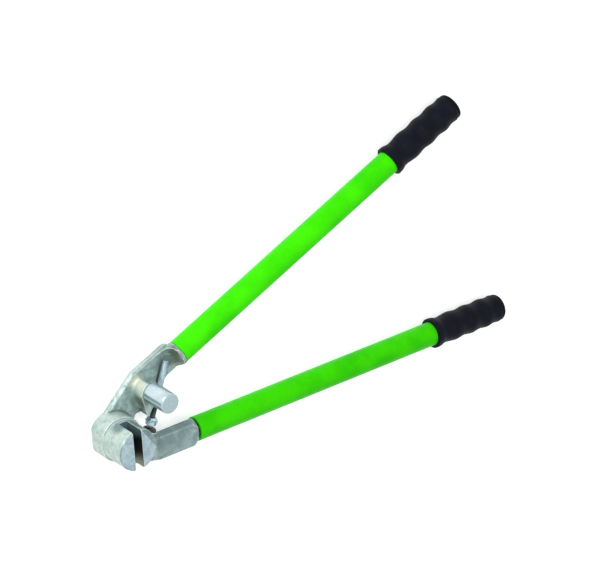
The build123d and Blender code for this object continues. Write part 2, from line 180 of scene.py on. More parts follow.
def makeCastGroup():
    # cloudy patina, stains and a sand-cast grain, all over the surface
    tree, i, o = makeGroup("cast skin", [
        ("Vector", "Vector", None), ("Light", "Color", (.6, .6, .6, 1)), ("Dark", "Color", (.4, .4, .4, 1)),
        ("Stain", "Color", (.3, .3, .25, 1)), ("Cloud Scale", "Float", 75.0), ("Stain Amount", "Float", .5),
    ], [("Colour", "Color"), ("Height", "Float"), ("Cloud", "Float")])
    cloud = ramp(tree, noise(tree, i["Vector"], i["Cloud Scale"], 6.0, .62, .4), *castSkin["cloudEdges"])
    body = blendColour(tree, cloud, i["Dark"], i["Light"])
    blotScale = product(tree, i["Cloud Scale"], castSkin["blotScale"])
    blot = ramp(tree, noise(tree, i["Vector"], blotScale, 5.0, .66, .8), *castSkin["blotEdges"])
    stained = blendColour(tree, product(tree, blot, i["Stain Amount"]), body, i["Stain"])
    speck = ramp(tree, noise(tree, i["Vector"], castSkin["speckScale"], 3.0, .6), *castSkin["speckEdges"])
    white = (1, 1, 1, 1)
    specked = blendColour(tree, product(tree, speck, castSkin["speckAmount"]), stained, white, "SOFT_LIGHT")
    grain = noise(tree, i["Vector"], castSkin["grainScale"], 3.0, .6)
    lump = noise(tree, i["Vector"], castSkin["lumpScale"], 3.0, .55)
    height = calc(tree, "ADD", product(tree, grain, castSkin["grain"]), product(tree, lump, castSkin["lump"]))
    tree.links.new(specked, o["Colour"])
    tree.links.new(height, o["Height"])
    tree.links.new(cloud, o["Cloud"])
    return tree


def makeSpotGroup(breakScale=260.0, breakUp=.7):
    # a soft round mask about a point, broken up at its rim
    tree, i, o = makeGroup("spot", [
        ("Vector", "Vector", None), ("Centre", "Vector", (0, 0, 0)), ("Radius", "Float", .01),
        ("Softness", "Float", .5), ("Amount", "Float", 1.0),
    ], [("Mask", "Float")])
    node = addNode(tree, "ShaderNodeVectorMath", {"operation": "DISTANCE"}, i0=i["Vector"], i1=i["Centre"])
    uneven = calc(tree, "SUBTRACT", noise(tree, i["Vector"], breakScale, 3.0, .6), .5)
    away = calc(tree, "MULTIPLY_ADD", uneven, product(tree, i["Radius"], breakUp), node.outputs["Value"])
    inner = product(tree, i["Radius"], calc(tree, "SUBTRACT", 1.0, i["Softness"]))
    tree.links.new(product(tree, fall(tree, away, inner, i["Radius"]), i["Amount"]), o["Mask"])
    return tree


def makeEdgeShadeGroup(breakScale=420.0, breakUp=.02, edgeFrom=.506, hollowFrom=.485):
    # painted highlight on raised edges and painted shade in hollows, both from pointiness
    tree, i, o = makeGroup("edge highlight and hollow shade", [
        ("Vector", "Vector", None), ("Width", "Float", .06),
    ], [("Edge", "Float"), ("Hollow", "Float")])
    point = tree.nodes.new("ShaderNodeNewGeometry").outputs["Pointiness"]
    uneven = calc(tree, "SUBTRACT", noise(tree, i["Vector"], breakScale, 3.0, .6), .5)
    broken = calc(tree, "MULTIPLY_ADD", uneven, breakUp, point)
    edge = ramp(tree, broken, edgeFrom, calc(tree, "ADD", edgeFrom, i["Width"]))
    hollow = fall(tree, broken, calc(tree, "SUBTRACT", hollowFrom, i["Width"]), hollowFrom)
    tree.links.new(edge, o["Edge"])
    tree.links.new(hollow, o["Hollow"])
    return tree


def makeTurnedGroup(streakScale=2600.0, waveAmount=.3):
    # fine tool marks that run round an axis, with their spacing varying along it
    tree, i, o = makeGroup("turned marks", [
        ("Along", "Float", 0.0), ("Pitch", "Float", .0004),
    ], [("Height", "Float"), ("Streak", "Float")])
    wave = calc(tree, "SINE", product(tree, calc(tree, "DIVIDE", i["Along"], i["Pitch"]), math.tau))
    line = addNode(tree, "ShaderNodeTexNoise", {"noise_dimensions": "1D"},
                   W=product(tree, i["Along"], streakScale), Scale=1.0, Detail=4.0).outputs["Fac"]
    tree.links.new(calc(tree, "ADD", product(tree, wave, waveAmount), line), o["Height"])
    tree.links.new(ramp(tree, line, .35, .65), o["Streak"])
    return tree


coatSkin = {
    "cloudScale": 22.0, "cloudEdges": (.38, .66), "scratchStretch": (18.0, 150.0, 150.0),
    "scratchEdges": (.66, .74), "peelScale": 750.0, "fineScale": 2400.0, "fine": .2,
}


def makeCoatGroup():
    # powder coat: orange peel, faint cloudiness and a few scuffs
    tree, i, o = makeGroup("powder coat", [
        ("Vector", "Vector", None), ("Base", "Color", (0, .5, 0, 1)), ("Deep", "Color", (0, .4, 0, 1)),
        ("Scuff Amount", "Float", .3),
    ], [("Colour", "Color"), ("Height", "Float"), ("Scuff", "Float")])
    cloud = noise(tree, i["Vector"], coatSkin["cloudScale"], 4.0, .55)
    body = blendColour(tree, ramp(tree, cloud, *coatSkin["cloudEdges"]), i["Base"], i["Deep"])
    scratch = addNode(tree, "ShaderNodeMapping", None, Vector=i["Vector"], Scale=coatSkin["scratchStretch"])
    scratched = ramp(tree, noise(tree, scratch.outputs[0], 3.0, 5.0, .7), *coatSkin["scratchEdges"])
    scuff = product(tree, scratched, i["Scuff Amount"])
    peel = noise(tree, i["Vector"], coatSkin["peelScale"], 2.0, .45)
    fine = product(tree, noise(tree, i["Vector"], coatSkin["fineScale"], 1.0, .5), coatSkin["fine"])
    tree.links.new(blendColour(tree, scuff, body, i["Deep"]), o["Colour"])
    tree.links.new(calc(tree, "ADD", peel, fine), o["Height"])
    tree.links.new(scuff, o["Scuff"])
    return tree


castGroup, spotGroup, edgeShadeGroup = makeCastGroup(), makeSpotGroup(), makeEdgeShadeGroup()
turnedGroup, coatGroup = makeTurnedGroup(), makeCoatGroup()
print("shader groups ready")


def useGroup(tree, group, **values):
    node = tree.nodes.new("ShaderNodeGroup")
    node.node_tree = group
    for key, value in values.items():
        addInput(tree, node.inputs[key.replace("_", " ")], value)
    return node.outputs


def newMaterial(name):
    mat = bpy.data.materials.new(name)
    mat.use_nodes = True
    tree = mat.node_tree
    return mat, tree, tree.nodes["Principled BSDF"], tree.nodes.new("ShaderNodeTexCoord").outputs["Object"]


def finishShader(tree, shader, look, base, rough, height):
    tree.links.new(base, shader.inputs["Base Color"])
    tree.links.new(rough, shader.inputs["Roughness"])
    if "metallic" in look:
        shader.inputs["Metallic"].default_value = look["metallic"]
    if "spec" in look:
        shader.inputs["Specular IOR Level"].default_value = look["spec"]
    bump = addNode(tree, "ShaderNodeBump", None, Strength=look["bump"], Distance=look["bumpDepth"], Height=height)
    tree.links.new(bump.outputs[0], shader.inputs["Normal"])


castLook = {
    "light": colour(172, 196, 192), "dark": colour(128, 152, 150), "stain": colour(92, 108, 100),
    # painted light: upright walls get a paler copy of the skin
    "litWall": colour(200, 216, 206), "wallStain": .4, "wallTilt": (.25, .8),
    # painted highlight colour for raised edges, painted shade colour for hollows
    "edge": colour(232, 244, 238), "edgeHighlightAmount": .7, "hollowShade": colour(50, 58, 50), "hollowShadeAmount": .6,
    "edgeHollowWidth": .035, "spotSoftness": .7, "bare": colour(20, 24, 22),
    "metallic": .30, "rough": (.52, .38), "bump": .45, "bumpDepth": mm(.30),
    "voxel": mm(.55), "smooth": 2, "pits": mm(.14), "pitSize": mm(6),
}


def paintOn(tree, base, coords, spots):
    # each spot: centre, radius, colour, amount
    for centre, radius, tint, amount in spots:
        mask = useGroup(tree, spotGroup, Vector=coords, Centre=centre, Radius=radius,
                        Softness=castLook["spotSoftness"], Amount=amount)["Mask"]
        base = blendColour(tree, mask, base, tint)
    return base


def makeCastMaterial(name, look, spots, zones):
    mat, tree, shader, coords = newMaterial(name)
    normal = tree.nodes.new("ShaderNodeNewGeometry").outputs["Normal"]
    toObject = {"vector_type": "NORMAL", "convert_from": "WORLD", "convert_to": "OBJECT"}
    facing = axes(tree, addNode(tree, "ShaderNodeVectorTransform", toObject, i0=normal).outputs[0])
    skin = useGroup(tree, castGroup, Vector=coords, Light=look["light"], Dark=look["dark"], Stain=look["stain"])
    # painted light: upright walls get a paler copy of the skin
    litWall = useGroup(tree, castGroup, Vector=coords, Light=look["litWall"], Dark=look["light"], Stain=look["stain"],
                    Stain_Amount=look["wallStain"])
    upright = fall(tree, calc(tree, "ABSOLUTE", facing["Z"]), *look["wallTilt"])
    base = blendColour(tree, upright, skin["Colour"], litWall["Colour"])
    base = zones(tree, base, coords, facing)
    base = paintOn(tree, base, coords, spots)
    # painted highlight on raised edges, painted shade in hollows
    edgeAndHollow = useGroup(tree, edgeShadeGroup, Vector=coords, Width=look["edgeHollowWidth"])
    base = blendColour(tree, product(tree, edgeAndHollow["Edge"], look["edgeHighlightAmount"]), base, look["edge"])
    base = blendColour(tree, product(tree, edgeAndHollow["Hollow"], look["hollowShadeAmount"]), base, look["hollowShade"])
    finishShader(tree, shader, look, base, ramp(tree, skin["Cloud"], 0.0, 1.0, *look["rough"]), skin["Height"])
    return mat


jawLook = {
    # the post's open face, its facet towards the neck, and the slot
    "faceLight": colour(186, 208, 216), "faceDark": colour(150, 176, 186), "faceStain": colour(120, 140, 145),
    "faceHeight": mm(71.5, 73.0), "faceTilt": (.8, .95), "faceCloud": 90.0,
    "facetHeight": mm(65.5, 67.0), "facetTilt": (.75, .96, .05), "facetAmount": .8,
    "slotDark": colour(24, 32, 28), "slotOlive": colour(118, 128, 108), "slotMouth": colour(84, 106, 104),
    "slotWidth": mm(-6.7, 6.7, .2), "slotFloor": mm(39.8, 40.4), "oliveEnd": mm(-27, -6), "mouthEnd": mm(10, 26),
    # painted shade on the side of the neck and block, and the spigot beside the tube
    "flankLight": colour(134, 160, 166), "flankDark": colour(100, 126, 134), "flankFrom": mm(18, 34),
    "flankTilt": (.35, .75),
    "bareFrom": mm(118.9, 119.3),
    # darker patches on the post's side, the neck and the block: painted shade
    "spots": [
        (mm(-8, 27, 46), mm(16), colour(92, 120, 126), .8),
        (mm(10, 28, 52), mm(22), colour(98, 126, 132), .8),
        (mm(62, -24, 36), mm(20), colour(98, 122, 128), .6),
        (mm(88, -20, 32), mm(26), colour(104, 128, 130), .55),
        (mm(38, -10, 44), mm(15), colour(92, 116, 122), .6),
        (mm(70, -36, 35), mm(22), colour(120, 146, 148), .5),
        (mm(100, -36, 35), mm(24), colour(122, 150, 154), .5),
    ],
}


def jawZones(tree, base, coords, facing):
    look, at = jawLook, axes(tree, coords)
    # open face of the post, a cooler grey than its side
    face = product(tree, ramp(tree, facing["Z"], *look["faceTilt"]), ramp(tree, at["Z"], *look["faceHeight"]))
    cool = useGroup(tree, castGroup, Vector=coords, Light=look["faceLight"], Dark=look["faceDark"],
                    Stain=look["faceStain"], Cloud_Scale=look["faceCloud"])["Colour"]
    base = blendColour(tree, face, base, cool)
    # painted shade: near black inside the slot, easing to olive towards its -Y mouth
    inSlot = product(tree, within(tree, at["X"], *look["slotWidth"]), ramp(tree, at["Z"], *look["slotFloor"]))
    slot = blendColour(tree, fall(tree, at["Y"], *look["oliveEnd"]), look["slotDark"], look["slotOlive"])
    slot = blendColour(tree, ramp(tree, at["Y"], *look["mouthEnd"]), slot, look["slotMouth"])
    base = blendColour(tree, inSlot, base, slot)
    # painted shade on the side of the neck and block under the stop button, and on the facet
    flank = product(tree, ramp(tree, facing["Y"], *look["flankTilt"]), ramp(tree, at["X"], *look["flankFrom"]))
    shaded = useGroup(tree, castGroup, Vector=coords, Light=look["flankLight"], Dark=look["flankDark"],
                      Stain=look["faceStain"])["Colour"]
    base = blendColour(tree, flank, base, shaded)
    facet = product(tree, within(tree, facing["Z"], *look["facetTilt"]), ramp(tree, at["Z"], *look["facetHeight"]))
    base = blendColour(tree, product(tree, facet, look["facetAmount"]), base, shaded)
    # the spigot beside the tube, painted near black
    return blendColour(tree, ramp(tree, at["X"], *look["bareFrom"]), base, castLook["bare"])


armLook = {
    "turn": math.radians(24), "bareFrom": mm(131.3, 131.6), "upTilt": (.3, .8),
    # painted shade in the corner round the eye and at its rim
    "seam": colour(84, 104, 100), "seamAmount": .75, "rimShare": .6,
    "corner": mm(30.8, 32.5, 3.5), "cornerTop": mm(13.8, 16.5), "rim": mm(29.5, 32.5, 1), "rimHeight": mm(34.5, 39),
    # painted shadow of the stop screw on the plate, under its free length
    "screwShadow": colour(34, 42, 38), "screwShadowAmount": .9,
    "screwShadowAcross": mm(-1.4, 1.4, 1.8), "screwShadowAlong": mm(-2, 36, 4), "screwShadowTop": mm(13.5, 16),
    # painted shade: the dark patches by the lug, in the scoop and on the plate; painted light: the two pale patches
    "spots": [
        (mm(38, 36, 24), mm(17), colour(78, 88, 68), .8),
        (mm(45, 17, 22), mm(14), colour(56, 64, 50), .9),
        (mm(94, 80, 20), mm(17), colour(84, 98, 74), .8),
        (mm(98, 92, 26), mm(15), colour(78, 92, 66), .85),
        (mm(104, 78, 28), mm(13), colour(92, 104, 80), .7),
        (mm(42, 61, 18), mm(16), colour(214, 222, 200), .85),
        (mm(42, 50, 26), mm(10), colour(212, 222, 208), .8),
        (mm(84, 84, 13), mm(24), colour(108, 134, 132), .5),
        (mm(34, 44, 13), mm(18), colour(124, 156, 146), .5),
    ],
}


def armZones(tree, base, coords, facing):
    look, at = armLook, axes(tree, coords)
    upward = ramp(tree, facing["Z"], *look["upTilt"])
    fromPivot = flatDistance(tree, at)
    # painted shade in the corner round the eye and at its rim
    corner = product(tree, within(tree, fromPivot, *look["corner"]), fall(tree, at["Z"], *look["cornerTop"]), upward)
    rim = product(tree, within(tree, fromPivot, *look["rim"]), ramp(tree, at["Z"], *look["rimHeight"]))
    seam = calc(tree, "MAXIMUM", corner, product(tree, rim, look["rimShare"]))
    base = blendColour(tree, product(tree, seam, look["seamAmount"]), base, look["seam"])
    # painted shadow of the stop screw on the plate
    fromScrew = fromPoint(tree, coords, screwOrigin)
    across = dot(tree, fromScrew, (screwAxis.y, -screwAxis.x, 0))
    down = dot(tree, fromScrew, screwAxis)
    under = product(tree, within(tree, across, *look["screwShadowAcross"]), within(tree, down, *look["screwShadowAlong"]),
                    fall(tree, at["Z"], *look["screwShadowTop"]), upward)
    base = blendColour(tree, product(tree, under, look["screwShadowAmount"]), base, look["screwShadow"])
    # the spigot beside the tube, painted near black
    along = dot(tree, coords, (math.cos(look["turn"]), math.sin(look["turn"]), 0))
    return blendColour(tree, ramp(tree, along, *look["bareFrom"]), base, castLook["bare"])


def place(piece, body, *stoodFor):
    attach(piece, body)
    if stoodFor:
        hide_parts(*stoodFor)
    return piece


def dress(piece, mat):
    piece.data.materials.clear()
    piece.data.materials.append(mat)


def remeshed(node, name, look):
    # a copy of the casting with soft, slightly uneven cast edges, which stands for it
    piece = bpy.data.objects.new(name, nodes[node].data.copy())
    scene.collection.objects.link(piece)
    skin = piece.modifiers.new("skin", "REMESH")
    skin.mode, skin.voxel_size = "VOXEL", look["voxel"]
    soften = piece.modifiers.new("soften", "SMOOTH")
    soften.factor, soften.iterations = .5, look["smooth"]
    clouds = bpy.data.textures.new(name + " unevenness", "CLOUDS")
    clouds.noise_scale = look["pitSize"]
    uneven = piece.modifiers.new("uneven", "DISPLACE")
    uneven.texture, uneven.texture_coords = clouds, "LOCAL"
    uneven.strength, uneven.mid_level = -look["pits"], 0.0  # inwards only, so it stays inside the CAD
    bpy.context.view_layer.update()
    made = bpy.data.meshes.new_from_object(piece.evaluated_get(bpy.context.evaluated_depsgraph_get()))
    piece.modifiers.clear()
    piece.data = made
    for poly in made.polygons:
        poly.use_smooth = True
    return place(piece, nodes[node]["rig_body"], node)


jawCasting = remeshed("jaw_casting", "jawCasting", castLook)
dress(jawCasting, makeCastMaterial("jaw cast steel", castLook, jawLook["spots"], jawZones))
pinCasting = remeshed("pin_casting", "pinArmCasting", castLook)
dress(pinCasting, makeCastMaterial("pin arm cast steel", castLook, armLook["spots"], armZones))
print("castings:", len(jawCasting.data.polygons), len(pinCasting.data.polygons), "faces")


# helpers for turned and threaded pieces

def spread(node, origin, axis):
    # stations along an axis and distances from it, of a CAD node's points
    found = []
    for v in nodes[node].data.vertices:
        rel = v.co - origin
        t = rel.dot(axis)
        found.append((t, (rel - axis * t).length))
    return found


def span(points):
    return min(t for t, r in points), max(t for t, r in points)


def bridge(bm, low, high):
    # faces between two rings of points, either of which may be a single point
    count = max(len(low), len(high))
    for k in range(count):
        n = (k + 1) % count
        if len(low) == 1:
            bm.faces.new((low[0], high[n], high[k]))
        elif len(high) == 1:
            bm.faces.new((low[k], low[n], high[0]))
        else:
            bm.faces.new((low[k], low[n], high[n], high[k]))


def finishMesh(bm, name, sharp=35):
    bmesh.ops.recalc_face_normals(bm, faces=bm.faces)
    mesh = bpy.data.meshes.new(name)
    bm.to_mesh(mesh)
    bm.free()
    for poly in mesh.polygons:
        poly.use_smooth = True
    mesh.set_sharp_from_angle(angle=math.radians(sharp))
    piece = bpy.data.objects.new(name, mesh)
    scene.collection.objects.link(piece)
    return piece


def lathe(name, origin, axis, profile, segments, wobble=None):
    # a closed solid turned round an axis: profile is (station, radius) pairs, a radius of 0 closes it
    side = axis.orthogonal().normalized()
    other = axis.cross(side)
    bm = bmesh.new()
    rings = []
    for station, radius in profile:
        if radius <= 0:
            rings.append([bm.verts.new(origin + axis * station)])
            continue
        ring = []
        for k in range(segments):
            a = 2 * math.pi * k / segments
            r = radius + (wobble(a) if wobble else 0)
            ring.append(bm.verts.new(origin + axis * station + (side * math.cos(a) + other * math.sin(a)) * r))
        rings.append(ring)
    pairs = list(zip(rings, rings[1:]))
    if profile[0][1] > 0 and profile[-1][1] > 0:
        pairs.append((rings[-1], rings[0]))
    for low, high in pairs:
        bridge(bm, low, high)
    return finishMesh(bm, name)


pinLook = {
    "light": colour(200, 217, 223), "cloud": colour(184, 203, 209), "low": colour(120, 148, 148),
    "endLight": colour(176, 198, 202), "endDark": colour(150, 174, 180), "endDepth": mm(.30, .15),
    "metallic": .55, "rough": (.26, .38), "bump": .25, "bumpDepth": mm(.06),
    "cloudScale": 55.0, "cloudEdges": (.36, .66), "sideTilt": (.3, .7),
    "markPitch": mm(.6), "endPitch": mm(1.1), "streak": .12, "endStreak": .5,
    "edge": mm(.5), "fillet": mm(.6), "chamfer": mm(1.6), "crown": mm(.4), "facing": mm(.04), "faceRings": 9,
    "dimple": (mm(.1, .9), mm(.5, .4), mm(.6, 0)), "around": 160,
    # painted reflections, darker and lighter bands down the side: direction and half width in degrees, colour, amount
    "reflectionBands": [
        (60, 22, colour(150, 172, 178), .8), (167, 10, colour(100, 130, 130), .85),
        (183, 9, colour(206, 236, 234), .8), (201, 13, colour(86, 112, 112), .9),
        (222, 12, colour(120, 140, 140), .8),
    ],
}


def makePin():
    low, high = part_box("bending_pin")
    origin = Vector(((low.x + high.x) / 2, (low.y + high.y) / 2, 0))
    points = spread("bending_pin", origin, upAxis)
    radius = max(r for t, r in points)
    shank = max(r for t, r in points if t < low.z + .0005)
    shoulder = min(t for t, r in points if r > radius - .0001)
    edge, fillet, chamfer, crown = (pinLook[key] for key in ("edge", "fillet", "chamfer", "crown"))
    outline = [
        (low.z, 0), (low.z, shank - edge), (low.z + edge, shank),
        (shoulder - fillet, shank), (shoulder, shank + fillet), (shoulder, radius - edge), (shoulder + edge, radius),
        (high.z - chamfer - .0003, radius), (high.z - chamfer, radius - .0001),
        (high.z - .00015, radius - chamfer), (high.z, radius - chamfer - crown),
    ]
    # facing marks on the end, shallow rings towards a small centre dimple
    for k in range(1, pinLook["faceRings"]):
        r = (radius - chamfer - crown) * (1 - k / pinLook["faceRings"])
        outline.append((high.z - (pinLook["facing"] if k % 2 else 0), r))
    outline += [(high.z - depth, r) for depth, r in pinLook["dimple"]]
    return lathe("bendingPin", origin, upAxis, outline, pinLook["around"]), origin, high.z


def makePinMaterial(origin, top):
    mat, tree, shader, coords = newMaterial("turned pin steel")
    at = axes(tree, fromPoint(tree, coords, origin))
    marks = useGroup(tree, turnedGroup, Along=at["Z"], Pitch=pinLook["markPitch"])
    cloud = ramp(tree, noise(tree, coords, pinLook["cloudScale"], 4.0, .6), *pinLook["cloudEdges"])
    base = blendColour(tree, cloud, pinLook["light"], pinLook["cloud"])
    # painted reflections: darker and lighter bands on the side turned away from the open work face
    turn = calc(tree, "ARCTAN2", at["Y"], at["X"])
    tilt = axes(tree, tree.nodes.new("ShaderNodeNewGeometry").outputs["Normal"])["Z"]
    onSide = fall(tree, calc(tree, "ABSOLUTE", tilt), *pinLook["sideTilt"])
    for centre, width, tint, amount in pinLook["reflectionBands"]:
        offset = calc(tree, "SUBTRACT", turn, math.radians(centre))
        away = calc(tree, "ABSOLUTE", calc(tree, "WRAP", offset, math.pi, -math.pi))
        reflectionBand = product(tree, fall(tree, away, math.radians(width * .4), math.radians(width)), amount, onSide)
        base = blendColour(tree, reflectionBand, base, tint)
    base = blendColour(tree, product(tree, marks["Streak"], pinLook["streak"]), base, pinLook["low"])
    # the end face has rings about its middle instead of marks along its side
    outer, inner = pinLook["endDepth"]
    endFace = ramp(tree, at["Z"], top - outer, top - inner)
    rings = useGroup(tree, turnedGroup, Along=flatDistance(tree, at), Pitch=pinLook["endPitch"])
    endStreak = product(tree, rings["Streak"], pinLook["endStreak"])
    base = blendColour(tree, endFace, base, blendColour(tree, endStreak, pinLook["endLight"], pinLook["endDark"]))
    sideHeight = product(tree, marks["Height"], calc(tree, "SUBTRACT", 1.0, endFace))
    height = calc(tree, "ADD", sideHeight, product(tree, rings["Height"], endFace))
    finishShader(tree, shader, pinLook, base, ramp(tree, marks["Streak"], 0.0, 1.0, *pinLook["rough"]), height)
    return mat


bendingPin, pinOrigin, pinTop = makePin()
place(bendingPin, "pin_arm", "bending_pin")
dress(bendingPin, makePinMaterial(pinOrigin, pinTop))

platedLook = {
    "light": colour(178, 204, 212), "dark": colour(128, 154, 160), "hollowShade": colour(46, 54, 52),
    "metallic": .7, "rough": (.38, .26), "bump": .2, "bumpDepth": mm(.05),
    "cloudScale": 160.0, "stainAmount": .5, "edgeHollowWidth": .08, "hollowShadeAmount": .7,
}
washerLook = {**platedLook, "light": colour(206, 222, 216), "dark": colour(176, 196, 190), "metallic": .4}


def makePlatedMaterial(name, look):
    mat, tree, shader, coords = newMaterial(name)
    skin = useGroup(tree, castGroup, Vector=coords, Light=look["light"], Dark=look["dark"], Stain=look["dark"],
                    Cloud_Scale=look["cloudScale"], Stain_Amount=look["stainAmount"])
    edgeAndHollow = useGroup(tree, edgeShadeGroup, Vector=coords, Width=look["edgeHollowWidth"])
    # painted shade in hollows
    base = blendColour(tree, product(tree, edgeAndHollow["Hollow"], look["hollowShadeAmount"]), skin["Colour"], look["hollowShade"])
    finishShader(tree, shader, look, base, ramp(tree, skin["Cloud"], 0.0, 1.0, *look["rough"]), skin["Height"])
    return mat


platedSteel = makePlatedMaterial("bright zinc plate", platedLook)
washerSteel = makePlatedMaterial("pale zinc plate", washerLook)

screwLook = {
    "light": colour(196, 216, 226), "dark": colour(160, 184, 196), "screwShadeColour": colour(34, 44, 44),
    "shankShadeAlong": mm(-38.5, -21, 3), "shankShadeAmount": .8, "edgeHollowWidth": .08, "screwHollowShadeAmount": .5,
    "cloudScale": 140.0, "cloudEdges": (.35, .65), "roughEdges": (.3, .7), "grainScale": 1800.0,
    "metallic": .6, "rough": (.3, .42), "bump": .15, "bumpDepth": mm(.04),
    # thread: pitch, depth, the share of the pitch it is cut over, run-in and tapered tip
    "pitch": mm(1.25), "depth": mm(.60), "cutShare": .86, "rows": 8,
    "runIn": mm(1.2), "tip": mm(.8), "tipDrop": mm(.6),
    # hexagons: share of the flats left as a flat face, how fast the corners fall away, eased edges
    "face": .93, "cornerSlope": .58, "around": 120, "edge": mm(.4), "washerEdge": mm(.3), "sharp": 28,
}


def makeScrewMaterial():
    mat, tree, shader, coords = newMaterial("stop screw zinc plate")
    along = dot(tree, fromPoint(tree, coords, screwOrigin), screwAxis)
    cloud = noise(tree, coords, screwLook["cloudScale"], 4.0, .6)
    base = blendColour(tree, ramp(tree, cloud, *screwLook["cloudEdges"]), screwLook["light"], screwLook["dark"])
    # painted shade on the shank between the lug and the nut
    shankShaded = product(tree, within(tree, along, *screwLook["shankShadeAlong"]), screwLook["shankShadeAmount"])
    base = blendColour(tree, shankShaded, base, screwLook["screwShadeColour"])
    # painted shade in the hollows
    edgeAndHollow = useGroup(tree, edgeShadeGroup, Vector=coords, Width=screwLook["edgeHollowWidth"])
    base = blendColour(tree, product(tree, edgeAndHollow["Hollow"], screwLook["screwHollowShadeAmount"]), base, screwLook["screwShadeColour"])
    rough = ramp(tree, cloud, *screwLook["roughEdges"], *screwLook["rough"])
    finishShader(tree, shader, screwLook, base, rough, noise(tree, coords, screwLook["grainScale"], 2.0, .5))
    return mat


def hexAt(flats, angle):
    return flats / 2 / math.cos((angle + math.pi / 6) % (math.pi / 3) - math.pi / 6)


def level(station, radius):
    # one even ring
    return [(station, radius)] * screwLook["around"]


def hexRings(node, flats, start, end):
    # outline rings of a hexagon with its corners turned off at both faces
    face, samples = flats / 2 * screwLook["face"], screwLook["around"]
    turn = hexTurn(node)
    angles = [2 * math.pi * k / samples for k in range(samples)]
    radii = [hexAt(flats, a - turn) for a in angles]
    drop = [(r - face) * screwLook["cornerSlope"] for r in radii]
    lower = [(start + d, r) for d, r in zip(drop, radii)]
    upper = [(end - d, r) for d, r in zip(drop, radii)]
    return angles, [level(start, face), lower, upper, level(end, face)]


def hexTurn(node):
    # angle of the hexagon's flats about the axis, from the CAD corners
    def offAxis(p):
        rel = p - screwOrigin
        return (rel - screwAxis * rel.dot(screwAxis)).length

    rel = max((v.co for v in nodes[node].data.vertices), key=offAxis) - screwOrigin
    return math.atan2(rel.dot(screwAxis.cross(upAxis)), rel.dot(upAxis)) + math.pi / 6


def ringMesh(bm, angles, rows):
    other = screwAxis.cross(upAxis)
    rings = []
    for row in rows:
        rings.append([bm.verts.new(screwOrigin + screwAxis * s + (upAxis * math.cos(a) + other * math.sin(a)) * r)
                      for a, (s, r) in zip(angles, row)])
    for low, high in zip(rings, rings[1:]):
        bridge(bm, low, high)
    return rings


def threadRows(start, end, radius):
    rows, samples = [], screwLook["around"]
    pitch, tip = screwLook["pitch"], screwLook["tip"]
    count = int((end - start) / pitch * screwLook["rows"])
    for j in range(count + 1):
        s = start + (end - start) * j / count
        fade = max(0.0, min(1.0, (s - start) / screwLook["runIn"], (end - s) / tip))
        core = radius - screwLook["tipDrop"] * max(0.0, 1 - (end - s) / tip)
        row = []
        for k in range(samples):
            f = (s / pitch - k / samples) % 1.0
            cut = max(0.0, 1 - abs(f - .5) * 2 / screwLook["cutShare"])
            row.append((s, core - screwLook["depth"] * cut * fade))
        rows.append(row)
    return rows


def makeScrew():
    points = spread("stop_screw", screwOrigin, screwAxis)
    start, end = span(points)
    shank = max(r for t, r in points if t > end - .002 or abs(t) < .01)  # clear of the head
    headEnd = max(t for t, r in points if r > shank * 1.3)
    flats = 2 * max(r for t, r in points) * math.cos(math.pi / 6)
    edge = screwLook["edge"]
    angles, head = hexRings("stop_screw", flats, start, headEnd)
    neck = [level(headEnd, shank + edge), level(headEnd + edge, shank), level(headEnd + edge * 3, shank)]
    thread = threadRows(headEnd + edge * 3.5, end, shank)
    bm = bmesh.new()
    rings = ringMesh(bm, angles, [level(start + edge / 2, flats * .4)] + head + neck + thread)
    bm.faces.new(rings[0])
    bm.faces.new(rings[-1])
    return finishMesh(bm, "stopScrew", screwLook["sharp"])


def makeNut():
    points = spread("stop_lock_nut", screwOrigin, screwAxis)
    start, end = span(points)
    flats = 2 * max(r for t, r in points) * math.cos(math.pi / 6)
    bore, edge = min(r for t, r in points), screwLook["edge"]
    angles, outer = hexRings("stop_lock_nut", flats, start, end)
    inner = [level(end, bore + edge), level(end - edge, bore), level(start + edge, bore), level(start, bore + edge)]
    bm = bmesh.new()
    rings = ringMesh(bm, angles, outer + inner)
    bridge(bm, rings[-1], rings[0])
    return finishMesh(bm, "stopLockNut", screwLook["sharp"])


def makeWasher(node, name, origin, axis):
    points = spread(node, origin, axis)
    start, end = span(points)
    outer, bore = max(r for t, r in points), min(r for t, r in points)
    c = min(screwLook["washerEdge"], (end - start) / 3)
    outline = [
        (start, bore + c), (start, outer - c), (start + c * .3, outer - c * .3), (start + c, outer),
        (end - c, outer), (end - c * .3, outer - c * .3), (end, outer - c), (end, bore + c),
        (end - c, bore), (start + c, bore),
    ]
    return lathe(name, origin, axis, outline, screwLook["around"])


screwSteel = makeScrewMaterial()
for piece, body, node, finish in (
    (makeScrew(), "stop_screw", "stop_screw", screwSteel),
    (makeNut(), "lock_nut", "stop_lock_nut", platedSteel),
    (makeWasher("stop_screw_washer", "stopScrewWasher", screwOrigin, screwAxis), "stop_washer", "stop_screw_washer",
     platedSteel),
    (makeWasher("pivot_washer", "pivotWasher", pivotOrigin, upAxis), "jaw_arm", "pivot_washer", platedSteel),
    (makeWasher("jaw_thrust_washer", "jawThrustWasher", pivotOrigin, upAxis), "jaw_arm", "jaw_thrust_washer",
     washerSteel),
):
    place(piece, body, node)
    dress(piece, finish)
print("pin, screw, nut and washers made")

coatLook = {
    "pin_tube": (colour(72, 244, 8), colour(60, 228, 4)), "jaw_tube": (colour(66, 226, 4), colour(54, 208, 2)),
    "scuff": .25, "rough": (.42, .62), "spec": .16, "tint": (.55, 1.0, .35, 1), "bump": .22, "bumpDepth": mm(.08),
}


